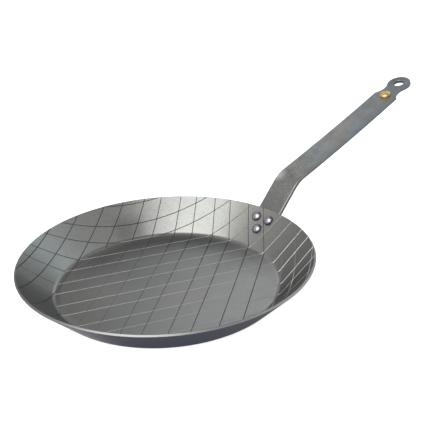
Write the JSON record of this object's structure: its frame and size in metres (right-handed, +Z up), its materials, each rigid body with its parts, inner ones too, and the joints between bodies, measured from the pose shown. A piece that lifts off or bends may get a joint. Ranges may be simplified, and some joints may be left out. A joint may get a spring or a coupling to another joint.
{
  "type": "steak pan",
  "caption": "Shallow flared steel frying pan for searing steaks, with an engraved diamond grid inside and a riveted flat bar handle with a hanging eye.",
  "frame": {"origin": "centre of the base's underside, on the hob", "axes": "+Z up out of the pan, +X from the pan's centre along the handle to the hanging eye"},
  "size_m": [0.5107, 0.28, 0.1225],
  "materials": {
    "pan_steel": "satin bare carbon steel, engraved and pressed",
    "handle_steel": "satin steel bar with a faint blue temper tint",
    "rivet_steel": "polished domed heads",
    "button_gold": "satin golden dome"
  },
  "bodies": {
    "root": {"pan_body": "pan_steel", "handle_bar": "handle_steel", "rivet_left": "rivet_steel", "rivet_right": "rivet_steel", "rivet_lower": "rivet_steel", "handle_button": "button_gold"}
  },
  "joints": []
}
